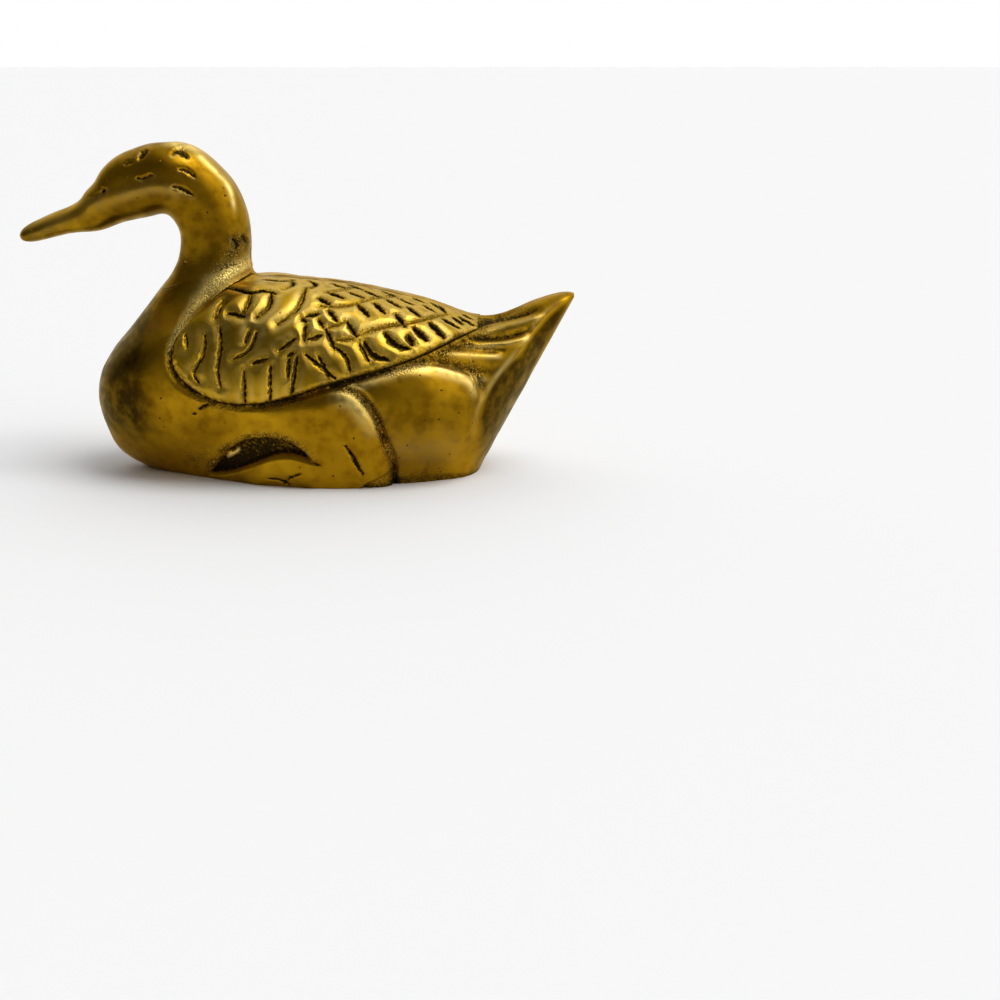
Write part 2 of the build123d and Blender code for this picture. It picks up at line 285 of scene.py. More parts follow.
tail_ridge = [
    (68.9, 45.2), (63.6, 41.2), (58.2, 35.3), (54.7, 30.6), (50.8, 26.4), (47.7, 22.0), (45.3, 17.0),
    (44.2, 12.3), (43.4, 7.0), (43.0, 2.0), (42.8, -3.0),
]
pocket_roof = [
    (-23.2, 1.0), (-19.8, 5.2), (-15.5, 9.8), (-11.4, 12.2), (-7.1, 13.2), (-2.9, 12.9), (1.0, 11.4),
    (3.8, 9.2), (5.6, 7.2),
]
pocket_floor = [
    (-22.6, 0.5), (-17.0, 1.8), (-12.4, 3.8), (-8.0, 6.0), (-4.0, 7.8), (0.0, 8.2), (3.2, 7.5), (5.6, 6.8),
]

# Depth, darkness and line of each flute of the tail, from the top down
tail_flutes = [
    (0.80, 0.85, [(43.4, 38.2), (51.2, 39.5), (57.6, 41.1), (62.5, 42.4)]),
    (1.05, 0.85, [(41.8, 36.0), (47.7, 35.7), (54.8, 36.3), (59.4, 37.3)]),
    (0.85, 0.50, [(36.3, 34.6), (40.8, 34.2), (47.7, 33.2), (52.8, 32.8)]),
    (0.60, 0.30, [(33.3, 32.4), (39.1, 30.4), (44.2, 28.6), (49.5, 27.2)]),
]

# Depth, breadth and line of each chisel mark on the body
body_cuts = [
    (0.85, 0.56, [(13.4, 11.4), (15.4, 7.8), (17.1, 4.2)]),
    (0.30, 0.32, [(5.4, 7.2), (7.0, 6.6)]),
    (0.45, 0.36, [(-6.6, 2.5), (-3.7, 2.3), (-1.3, 1.1)]),
    (0.45, 0.34, [(-2.4, 1.2), (-0.6, 3.2), (2.8, 4.7)]),
    (0.55, 0.48, [(-22.6, 20.2), (-20.4, 21.4)]),
    (0.35, 0.35, [(-24.2, 18.6), (-23.4, 19.2)]),
]


def breast_hollow(x, z):
    """How far the foot of the breast is dressed back."""
    return 0.9 * ease((-37 - x) / 8) * hump(z, 9.5, 7.5)


def off_back_strip(y):
    """0 on the plain strip along the middle of the back, between the wings, and 1 beside it."""
    return ease((-y - 1.6) / 0.3)


def nape_band(inside, way, y):
    """Share of the rough band between the neck and the wing, from the place beside the wing's edge."""
    narrow = ease((way - 0.09) / 0.12)
    across = hump(inside, mix(-2.9, -0.9, narrow), mix(1.9, 0.7, narrow))
    return ease((0.27 - way) / 0.06) * across * off_back_strip(y)


def wing_bed_relief(inside, way, y, ragged):
    """The wing's bed, the groove round it, and the rough bands beside it at the nape and at the tail."""
    bed_depth = 1.65
    groove_depth = 0.9
    band_rise = 0.35
    beside_strip = off_back_strip(y)
    bed = ease((inside + 0.25) / 0.4) * beside_strip
    front = between(way, 0.20, 0.61, 0.06, 0.05)
    rear = between(way, 0.645, 0.82, 0.02, 0.05)
    groove = (0.30 + 0.70 * np.maximum(front, rear)) * beside_strip
    nape = nape_band(inside, way, y)
    tail = ease((way - 0.76) / 0.06) * hump(inside, -1.5, 1.4) * beside_strip
    return {
        "height": band_rise * nape - groove_depth * groove * hump(inside, -0.6, 0.9) - bed_depth * bed,
        "dark": bed + groove * hump(inside, -0.4, 0.78) * (0.85 + 0.40 * ragged) + 0.30 * tail,
        "grain": 0.9 * groove * hump(inside, -0.8, 1.2) + 0.70 * nape + 0.9 * tail,
        # The rough band at the nape is painted pale: rubbed wear with a painted highlight.
        "worn": nape,
    }


def thigh_relief(x, thigh, way, outside, ragged):
    """The thigh: its bulge, highest a little inside its line, the line itself, and a painted highlight along
    its crest.
    """
    swell = 3.6
    settle = 2.2
    line_depth = 0.9
    there = outside * ease((x + 16) / 26)
    low = ease((way - 0.70) / 0.3)
    rim = between(way, 0.34, 0.86, 0.14, 0.12)
    crest = between(way, 0.32, 0.74, 0.12, 0.18)
    bulge = swell * (1 - np.exp(-np.maximum(thigh, 0) / 4.0)) - settle * ease(thigh / 10)
    line = hump(thigh, -0.8, mix(0.8, 1.1, low))
    shade = (0.32 + 0.25 * ragged) * hump(thigh, mix(-0.7, -1.0, low), mix(0.5, 0.8, low))
    grain = hump(thigh, -0.8, mix(0.9, 1.6, low)) + 0.8 * rim * hump(thigh, 0.4, 0.8)
    return {
        "height": there * (bulge - line_depth * line),
        "dark": there * shade,
        "grain": there * grain,
        # Painted highlight: the crest is painted pale where the light from the upper right catches it.
        "worn": 0.9 * there * crest * hump(thigh, 1.8, 1.7),
    }


def flank_relief(x, z, behind):
    """The flank behind the thigh: its bulge and line, its foot tucked in at the base, and the notch below."""
    swell = 1.8
    line_depth = 0.5
    tuck_depth = 2.6
    notch_depth = 1.1
    gap, side, way = beside(x, z, flank_line, 60)
    flank = -gap * side
    top = behind * ease((0.68 - way) / 0.1)
    bulge = behind * (1 - np.exp(-np.maximum(flank, 0) / 2.8)) * ease((z - 4) / 10)
    tuck = behind * ease((15 - z) / 15) * ease((46 - x) / 10)
    foot = behind * ease((6 - z) / 6) * ease((38 - x) / 10)
    notch_top = 0.5 + 4.2 * np.clip((x - 16.7) / 7.5, 0, 1) ** 0.6
    notch = ease((notch_top - z) / 0.8) * between(x, 16.5, 26.5, 0.7, 2.5)
    line = line_depth * top * hump(flank, -0.8, 0.9)
    return {
        "height": swell * bulge - line - tuck_depth * tuck - notch_depth * notch,
        "dark": 0.30 * top * hump(flank, -0.9, 0.8) + 0.30 * behind * ease((3 - z) / 3) + 0.40 * notch,
        "grain": 0.9 * top * hump(flank, -0.9, 1.0) + 0.6 * foot + 0.7 * notch,
        # Painted highlight along the top rim behind the line, and a painted reflection of the pale floor low
        # on the flank.
        "worn": 0.8 * top * hump(flank, 1.2, 1.2) + 0.12 * behind * hump(z, 9.0, 4.5) * ease((44 - x) / 6),
        # Painted shade: a band across the middle of the flank is darkened as a dark reflection of the room.
        "brown": 0.45 * behind * hump(z, 19.0, 6.5),
    }


def tail_relief(x, y, z, ragged):
    """The ridge from the tail tip down the edge of the stern, the flat stern behind it, and the flutes, with
    painted shade on the stern and the side of the tail and painted highlights by the ridge and the flutes.
    """
    ridge_rise = 0.45
    stern_depth = 0.5
    gap, side, way = beside(x, z, tail_ridge, 40)
    stern = gap * side
    ridge = between(way, 0, 0.78, 0.17, 0.26)
    soft = mix(1.6, 6.0, ease((22 - z) / 16))
    # Painted shade: the stern face and a spot on the side of the tail are darkened through the brown mark.
    stern_shade = ease(stern / soft) * ease(way / 0.06) * ease((-y - 0.5) / 5)
    tail_side_shade = spot(x, z, (51.0, 27.5), (6.0, 6.0)) * (1 - stern_shade)
    flat = ease(stern / 5) * ease((-y - 0.5) / 6)
    height = ridge * (ridge_rise * np.exp(-gap / 1.1) - stern_depth * flat)
    dark = np.zeros(x.shape)
    grain = np.zeros(x.shape)
    # Painted highlight: a pale line beside the ridge, and further on one below each flute.
    worn = 0.25 * ridge * hump(stern, -0.6, 0.6)
    for depth, shade, points in tail_flutes:
        gap, side, way = beside(x, z, points, 24)
        run = between(way, 0, 1, 0.25, 0.2)
        crest = run * (side < 0)
        height += depth * (0.5 * crest * hump(gap, 2.0, 0.9) - run * hump(gap, 0.0, 0.8))
        dark += run * shade * hump(gap, 0.0, 0.55) * (0.9 + 0.3 * ragged)
        grain += 0.5 * run * hump(gap, 0.0, 1.3)
        worn += 0.4 * crest * hump(gap, 1.8, 0.6)
    brown = 0.88 * stern_shade + 0.15 * ease((x - 44) / 8) + 0.80 * tail_side_shade
    return {"height": height, "dark": dark, "grain": grain, "worn": worn, "brown": brown}


def pocket_relief(x, z, ragged):
    """The pocket over the leg, with painted shade and dark deposit in it but for one facet painted as lit,
    with a full lip above it and the leg below.
    """
    pocket_depth = 2.2
    facet_rise = 1.3
    leg_rise = 0.9
    lip_rise = 0.4
    gap, side, way = beside(x, z, pocket_roof, 40)
    under_roof = -gap * side
    gap, side, way = beside(x, z, pocket_floor, 40)
    over_floor = gap * side
    within = between(x, -24, 6.6, 2, 1.6)
    pocket = within * ease(np.minimum((under_roof + 0.3 + 0.3 * ragged) / 0.9, (over_floor + 0.3) / 2.0))
    facet_along = x + 16.2
    facet_up = z - 7.2 - 0.6 * facet_along
    facet = np.exp(-((facet_along / 1.9) ** 4) - facet_up**4)
    leg = within * hump(over_floor, -3.2, 2.4) * ease((x + 16) / 10)
    lip = within * hump(under_roof, -1.4, 1.3)
    core = 0.25 * ease((-2 - x) / 6) * hump(over_floor, 1.5, 2.0)
    return {
        "height": (facet_rise * facet - pocket_depth) * pocket + leg_rise * leg + lip_rise * lip,
        # Painted shade under the roof, with deposit; the facet gets a painted highlight through the wear
        # mark.
        "dark": ease((pocket - 0.2) / 0.5) * (0.75 + core + 0.20 * ragged) * (1 - facet),
        "grain": 0.8 * within * hump(under_roof, -0.9, 0.9) + 0.6 * spot(x, z, (-25.0, 4.5), (4.5, 4.0)),
        "worn": facet * pocket,
    }


def chisel_relief(x, z):
    """Short chisel marks, each broadest in the middle, with ragged edges."""
    height = np.zeros(x.shape)
    dark = np.zeros(x.shape)
    for depth, breadth, points in body_cuts:
        gap, side, way = beside(x, z, points, 12)
        swell = breadth * (0.5 + 0.5 * np.sin(np.pi * np.clip(way, 0.1, 0.9)))
        near = np.maximum(gap + 0.16 * uneven(x, z, 0.9), 0) / swell
        height -= depth * np.exp(-(near**3))
        dark += np.exp(-(near**4))
    return {"height": height, "dark": dark}


def body_relief(x, y, z):
    """Height of the casting above the plain form, and how dark, grainy, worn and brown it is, with painted
    highlights in the wear mark and painted shade in the brown and dark marks: the sum of what each feature
    adds, all laid out in the side view."""
    ragged = uneven(x, z, 0.8)
    gap, side, wing_way = beside(x, z, wing_edge, 100)
    inside = np.minimum(gap * side, wing_end_x - x)
    outside = ease(-inside / 0.8)
    gap, side, thigh_way = beside(x, z, thigh_line, 70)
    thigh = -gap * side
    behind = outside * ease(-thigh / 1.2) * ease((x - 6) / 6)
    # Painted shade: the breast and the front of the neck, facing the dim side of the room, are darkened
    # through the brown mark; the dark spot low on the breast is a painted dark reflection over tarnish. Both
    # marks are also darker along the base line.
    breast = ease((-29 - x) / 11) * ease((z - 6) / 10)
    neck = 0.62 * ease((z - 40) / 8) * ease((-12 - x) / 4)
    plain = {
        "height": 0.12 * uneven(x, z, 6.0) - breast_hollow(x, z),
        "dark": 0.42 * spot(x, z, (-40.5, 20.5), (6.5, 6.0)) + 0.25 * hump(z, 0.0, 1.2),
        "brown": np.maximum(breast, neck) + 0.20 * hump(z, 0.0, 1.5),
    }
    features = [
        plain,
        wing_bed_relief(inside, wing_way, y, ragged),
        thigh_relief(x, thigh, thigh_way, outside, ragged),
        flank_relief(x, z, behind),
        tail_relief(x, y, z, ragged),
        pocket_relief(x, z, ragged),
        chisel_relief(x, z),
    ]
    labels = ("height", "dark", "grain", "worn", "brown")
    total = {label: sum(feature.get(label, 0) for feature in features) for label in labels}
    return total.pop("height"), total


def raise_skin(points, height):
    """The grid of points moved out along its normals. It runs towards the tail and down the left side."""
    normal = unit(np.cross(np.gradient(points, axis=1), np.gradient(points, axis=0)))
    return points + normal * height[..., None]


def grid_faces(index):
    """Four-sided faces of a grid of point numbers."""
    corners = [index[:-1, :-1], index[:-1, 1:], index[1:, 1:], index[1:, :-1]]
    return np.stack(corners, axis=-1).reshape(-1, 4).tolist()


def tube_faces(index):
    """Four-sided faces of a tube, from rows of point numbers that each run once round it."""
    after = np.roll(index, -1, axis=1)
    corners = [index[:-1], after[:-1], after[1:], index[1:]]
    return np.stack(corners, axis=-1).reshape(-1, 4).tolist()


def shell(outer, inner):
    """Closed shell of a fine outer grid and a coarse inner one, joined round the rim by many-sided faces."""
    rows, columns = outer.shape[:2]
    few_rows, few_columns = inner.shape[:2]
    step = (rows - 1) // (few_rows - 1)
    fine = np.arange(rows * columns).reshape(rows, columns)
    coarse = np.arange(few_rows * few_columns).reshape(few_rows, few_columns) + rows * columns
    faces = grid_faces(fine) + grid_faces(coarse.T)

    def rim(fine_edge, coarse_edge):
        starts = np.arange(len(coarse_edge) - 1) * step
        fine_run = fine_edge[starts[:, None] + np.arange(step + 1)]
        return np.column_stack([fine_run, coarse_edge[1:], coarse_edge[:-1]]).tolist()

    faces += rim(fine[:, 0], coarse[:, 0]) + rim(fine[::-1, -1], coarse[::-1, -1])
    faces += rim(fine[0, ::-1], coarse[0, ::-1]) + rim(fine[-1], coarse[-1])
    return np.vstack([outer.reshape(-1, 3), inner.reshape(-1, 3)]), faces


def add_piece(name, points, faces, marks, slot, material):
    """New mesh object from points in millimetres. Marks, such as how dark each point of the skin is, or its
    wear and painted highlight, are kept as attributes. The skin's points come first. Edges sharper than the
    limit stay crisp."""
    sharp_limit = np.radians(55)
    mesh = bpy.data.meshes.new(name)
    mesh.from_pydata((points * mm).tolist(), [], faces)
    for label, values in marks.items():
        full = np.zeros(len(points), np.float32)
        full[:values.size] = np.clip(values, 0, 1).ravel()
        mesh.attributes.new(label, "FLOAT", "POINT").data.foreach_set("value", full)
    mesh.shade_smooth()
    mesh.set_sharp_from_angle(angle=sharp_limit)
    mesh.materials.append(material)
    mesh.update()
    piece = bpy.data.objects.new(name, mesh)
    bpy.context.scene.collection.objects.link(piece)
    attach(piece, "root")
    return piece


def mirrored(points, faces):
    """The same piece for the right side: sides swapped, and each face turned round to point outwards."""
    return points * (1, -1, 1), [face[::-1] for face in faces]


def brass_finish_and_light_group():
    """Shared finish: broad tarnish, mottling, pits, grain, brown stain with painted shade, rubbed places with
    painted highlights, and dark deposit with painted shade.
    """
    group = bpy.data.node_groups.new("brass_finish_and_light", "ShaderNodeTree")
    # The umber colour serves brown stain and painted shade, the pale colour rubbed places and painted
    # highlights, the deposit colour dark deposit and painted shade.
    for name, kind, default in (
        ("Dark", "Float", 0.0), ("Grain", "Float", 0.0), ("Worn", "Float", 0.0), ("Brown", "Float", 0.0),
        ("Pits", "Float", 0.5), ("Bright", "Color", (0.60, 0.39, 0.05, 1)),
        ("Dull", "Color", (0.30, 0.165, 0.012, 1)), ("Umber_Tarnish_And_Shade", "Color", (0.034, 0.0155, 0.0007, 1)),
        ("Pale_Wear_And_Sheen", "Color", (0.94, 0.71, 0.21, 1)), ("Patina_And_Shade", "Color", (0.030, 0.018, 0.004, 1)),
    ):
        socket = group.interface.new_socket(name, in_out="INPUT", socket_type="NodeSocket" + kind)
        socket.default_value = default
    for name, kind in (("Color", "Color"), ("Roughness", "Float"), ("Height", "Float")):
        group.interface.new_socket(name, in_out="OUTPUT", socket_type="NodeSocket" + kind)
    nodes = group.nodes
    links = group.links
    given = nodes.new("NodeGroupInput").outputs
    result = nodes.new("NodeGroupOutput").inputs
    place = nodes.new("ShaderNodeTexCoord").outputs["Object"]

    def noise(scale, detail, stretch=(1, 1, 1)):
        mapping = nodes.new("ShaderNodeMapping")
        mapping.inputs["Scale"].default_value = [scale * share for share in stretch]
        texture = nodes.new("ShaderNodeTexNoise")
        texture.inputs["Scale"].default_value = 1
        texture.inputs["Detail"].default_value = detail
        links.new(place, mapping.inputs["Vector"])
        links.new(mapping.outputs["Vector"], texture.inputs["Vector"])
        return texture.outputs["Fac"]

    def cells(scale):
        texture = nodes.new("ShaderNodeTexVoronoi")
        texture.inputs["Scale"].default_value = scale
        links.new(place, texture.inputs["Vector"])
        return texture

    def span(value, low, high, start=0.0, end=1.0):
        node = nodes.new("ShaderNodeMapRange")
        node.interpolation_type = "SMOOTHSTEP"
        for socket, number in zip(("From Min", "From Max", "To Min", "To Max"), (low, high, start, end)):
            node.inputs[socket].default_value = number
        links.new(value, node.inputs["Value"])
        return node.outputs["Result"]

    def math(kind, first, second):
        node = nodes.new("ShaderNodeMath")
        node.operation = kind
        for socket, value in zip(node.inputs, (first, second)):
            if isinstance(value, (int, float)):
                socket.default_value = value
            else:
                links.new(value, socket)
        return node.outputs["Value"]

    def blend(share, first, second):
        node = nodes.new("ShaderNodeMix")
        node.data_type = "RGBA"
        links.new(share, node.inputs["Factor"])
        links.new(first, node.inputs["A"])
        links.new(second, node.inputs["B"])
        return node.outputs["Result"]

    broad = noise(45, 4)
    mottle = noise(320, 5)
    speck = noise(1500, 3)
    rub = noise(420, 4, (0.25, 1, 1))
    granules = cells(2300).outputs["Distance"]
    holes = cells(380)
    hole_pick = nodes.new("ShaderNodeSeparateColor")
    links.new(holes.outputs["Color"], hole_pick.inputs["Color"])
    few = math("MULTIPLY", span(hole_pick.outputs["Red"], 0.36, 0.52), span(broad, 0.34, 0.56))
    pit = math("MULTIPLY", span(holes.outputs["Distance"], 0.05, 0.13, 1, 0), few)
    pit = math("MULTIPLY", pit, given["Pits"])

    tarnish = math("ADD", span(broad, 0.35, 0.70, 0.0, 0.65), span(mottle, 0.40, 0.75, 0.0, 0.35))
    color = blend(tarnish, given["Bright"], given["Dull"])
    # This mark mixes real brown stain with painted shade on the breast, the neck, the stern and the middle of
    # the flank.
    tarnish_shade_share = math("MULTIPLY", given["Brown"], span(mottle, 0.25, 0.65, 0.75, 1.0))
    color = blend(tarnish_shade_share, color, given["Umber_Tarnish_And_Shade"])
    crests = math("MULTIPLY", given["Grain"], span(granules, 0.10, 0.42, 0.45, 0.0))
    # This mark mixes real wear with painted highlights and painted reflections on crests, rims and facets
    # that face the light.
    sheen_and_wear = math("MULTIPLY", given["Worn"], span(mottle, 0.30, 0.62, 0.35, 1.0))
    color = blend(math("MAXIMUM", crests, sheen_and_wear), color, given["Pale_Wear_And_Sheen"])
    ragged = math("MULTIPLY", math("SUBTRACT", speck, 0.5), 1.6)
    ragged_dark = math("ADD", given["Dark"], math("MULTIPLY", ragged, given["Dark"]))
    gritty = math("MULTIPLY", given["Grain"], span(granules, 0.28, 0.60, 0.0, 0.85))
    gritty = math("MULTIPLY", gritty, span(mottle, 0.34, 0.58))
    # The dark mark holds real deposit in cuts and grooves, and painted shade in the pocket and painted dark
    # reflection on the breast.
    patina_and_shade = math("MAXIMUM", math("MAXIMUM", span(ragged_dark, 0.15, 0.85), pit), gritty)
    links.new(blend(patina_and_shade, color, given["Patina_And_Shade"]), result["Color"])

    rough = math("ADD", span(mottle, 0.3, 0.7, 0.28, 0.40), math("MULTIPLY", patina_and_shade, 0.30))
    rough = math("ADD", rough, math("MULTIPLY", given["Grain"], 0.08))
    links.new(math("ADD", rough, span(rub, 0.35, 0.7, 0.0, 0.06)), result["Roughness"])

    height = math("MULTIPLY", math("MULTIPLY", granules, given["Grain"]), -0.6)
    height = math("SUBTRACT", height, pit)
    height = math("ADD", height, math("MULTIPLY", mottle, 0.10))
    links.new(math("ADD", height, math("MULTIPLY", rub, 0.05)), result["Height"])
    return group


brass_finish_and_light = brass_finish_and_light_group()


def brass_material(name, bright, dull, pits):
    """Metal with the brass finish, its tarnish and wear and its painted light and shade, in its own colours.
    """
    material = bpy.data.materials.new(name)
    material.use_nodes = True
    nodes = material.node_tree.nodes
    links = material.node_tree.links
    metal = nodes["Principled BSDF"]
    metal.inputs["Metallic"].default_value = 1.0
    metal.inputs["Specular Tint"].default_value = (1.0, 0.88, 0.60, 1)
    finish = nodes.new("ShaderNodeGroup")
    finish.node_tree = brass_finish_and_light
    finish.inputs["Bright"].default_value = bright
    finish.inputs["Dull"].default_value = dull
    finish.inputs["Pits"].default_value = pits
    for label in ("dark", "grain", "worn", "brown"):
        mark = nodes.new("ShaderNodeAttribute")
        mark.attribute_name = label
        links.new(mark.outputs["Fac"], finish.inputs[label.title()])
    bump = nodes.new("ShaderNodeBump")
    bump.inputs["Strength"].default_value = 0.5
    bump.inputs["Distance"].default_value = 0.4 * mm
    links.new(finish.outputs["Color"], metal.inputs["Base Color"])
    links.new(finish.outputs["Roughness"], metal.inputs["Roughness"])
    links.new(finish.outputs["Height"], bump.inputs["Height"])
    links.new(bump.outputs["Normal"], metal.inputs["Normal"])
    return material


cast_brass = brass_material("cast_brass", (0.50, 0.272, 0.007, 1), (0.19, 0.088, 0.0015, 1), 0.9)


def base_turn(station, depth):
    """The turn at which each section of the form, at a depth, comes down to the base, or half a round if it
    stays above it."""
    turns = np.linspace(0, np.pi, 721)
    z = form(station[:, None], turns[None, :], depth)[..., 2]
    below = z < 0
    reaches = below.any(axis=1)
    first = np.maximum(np.where(reaches, below.argmax(axis=1), len(turns) - 1), 1)
    number = np.arange(len(station))
    upper = z[number, first - 1]
    lower = z[number, first]
    share = np.where(reaches, upper / np.maximum(upper - lower, 1e-9), 1.0)
    return mix(turns[first - 1], turns[first], share)


def body_half():
    """Left half: the form from seat to tail tip with its relief, and inside it the hollow or flat seam."""
    rows = 341
    columns = 241
    coarser = 5
    smoothing_passes = 60
    seat_fade = 0.014
    stern_start_x = 30
    seam_fade = 2.0
    station = np.linspace(seat_station, 1, rows)
    end = base_turn(station, 0.0)
    skin = form(station[:, None], end[:, None] * np.linspace(0, 1, columns)[None, :])
    half_width = section_law(station)[:, 4][:, None]
    skin[..., 1] = -half_seam + skin[..., 1] * (1 - half_seam / half_width)
    for _ in range(smoothing_passes):
        skin[:, 1:-1] = (skin[:, :-2] + 2 * skin[:, 1:-1] + skin[:, 2:]) / 4
    height, marks = body_relief(skin[..., 0], skin[..., 1], skin[..., 2])
    height *= ease((station - seat_station) / seat_fade)[:, None]
    height *= np.where(skin[..., 0] < stern_start_x, 1, ease((-half_seam - skin[..., 1]) / seam_fade))
    outer = raise_skin(skin, height)
    outer[..., 1] = np.minimum(outer[..., 1], -half_seam)
    outer[:, 0, 1] = -half_seam
    on_base = end < np.pi - 1e-6
    outer[~on_base, -1, 1] = -half_seam
    outer[..., 2] = np.maximum(outer[..., 2], 0)
    outer[on_base, -1, 2] = 0
    few = station[::coarser]
    hollow = (few > hollow_front) & (few < hollow_back)
    depth = np.where(hollow, wall, 2 * half_seam)
    inner_end = np.where(hollow, np.minimum(base_turn(few, wall), np.pi), end[::coarser])
    inner_turn = inner_end[:, None] * np.linspace(0, 1, columns // coarser + 1)[None, :]
    inner = form(few[:, None], inner_turn, depth[:, None])
    inner[..., 1] = np.where(hollow[:, None], np.minimum(inner[..., 1], -half_seam), -half_seam)
    inner[..., 2] = np.maximum(inner[..., 2], 0)
    points, faces = shell(outer, inner)
    return points, faces, marks


body_points, body_faces, body_marks = body_half()
left_body = add_piece("left_body", body_points, body_faces, body_marks, "cast_brass", cast_brass)
right_body = add_piece("right_body", *mirrored(body_points, body_faces), body_marks, "cast_brass", cast_brass)
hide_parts("left_body_half")
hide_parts("right_body_half")

# Seams: the two castings are brazed together along the breast, and along the back, round the tail and down
# the stern. The braze is a thin strip of paler yellow metal, filed flush with the body.
braze = brass_material("braze", (0.53, 0.295, 0.012, 1), (0.22, 0.104, 0.003, 1), 0.4)


def seam_strip(line, inward):
    """Strip along a line in the side view, as wide as the seam, from the skin in to a second line inside."""
    outward = unit(line - inward)
    line = line - outward * breast_hollow(line[:, 0], line[:, 1])[:, None]
    edge = 0.96 * half_seam
    crown = 0.5 * half_seam
    crown_rise = 0.06
    profile = [(-edge, 0.0), (-crown, crown_rise), (crown, crown_rise), (edge, 0.0)]
    rings = [np.insert(line + outward * lift, 1, y, axis=1) for y, lift in profile]
    rings += [np.insert(inward, 1, y, axis=1) for y in (edge, -edge)]
    points = np.stack(rings, axis=1)
    count = len(rings)
    index = np.arange(points.size // 3).reshape(-1, count)
    after = np.roll(index, -1, axis=1)
    faces = np.stack([index[:-1], index[1:], after[1:], after[:-1]], axis=-1).reshape(-1, 4).tolist()
    faces += [index[0].tolist(), index[-1, ::-1].tolist()]
    return points.reshape(-1, 3), faces


def seam_lines(station, turn):
    """The skin's line in the centre plane, at a turn of 0 or half a round, and the same line set in by the
    wall, or by less where the form is thin."""
    thin_share = 0.42
    top_and_foot = section_law(station)[:, :4].reshape(-1, 2, 2)
    tall = np.linalg.norm(top_and_foot[:, 1] - top_and_foot[:, 0], axis=1)
    depth = np.minimum(wall, thin_share * tall)
    flat = (0, 2)
    return form(station, turn)[:, flat], form(station, turn, depth)[:, flat]


def add_seam(name, node, line, inward):
    """Strip of braze in place of a CAD node, marked as the body beside it is, with its tarnish and its
    painted light and shade, and nowhere quite clean.
    """
    least_dark = 0.2
    points, faces = seam_strip(line, inward)
    marks = body_relief(points[:, 0], -np.abs(points[:, 1]), points[:, 2])[1]
    marks["dark"] = np.maximum(marks["dark"], least_dark)
    piece = add_piece(name, points, faces, marks, "braze", braze)
    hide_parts(node)


breast_station = np.linspace(seat_station, 0.6, 300)
breast_line, breast_inward = seam_lines(breast_station, np.pi)
breast_keep = np.maximum.accumulate(breast_line[:, 1] < 0).argmax()
add_seam("breast_seam", "breast_seam_braze", breast_line[:breast_keep], breast_inward[:breast_keep])

tail_station = 0.9995
back_station = np.linspace(seat_station, tail_station, 260)
back_line, back_inward = seam_lines(back_station, 0.0)
stern_station = np.linspace(tail_station, 0.7, 200)
stern_line, stern_inward = seam_lines(stern_station, np.pi)
stern_keep = (stern_line[:, 1] < 0).argmax()
add_seam(
    "back_seam", "back_seam_braze",
    np.vstack([back_line, stern_line[:stern_keep]]), np.vstack([back_inward, stern_inward[:stern_keep]]),
)

# Wings: one curved plaque on each side, cast thin, let into its bed and brazed all round.
# The feathers are chased into it by hand, so no two cuts are alike, and the cuts hold dark tarnish, with
# painted shade heavier along one wall of each cut.
wing_rise = 0.8
wing_bed = 1.4
wing_top_gap = 1.8
round_radius = 27.0
round_height = 22.0

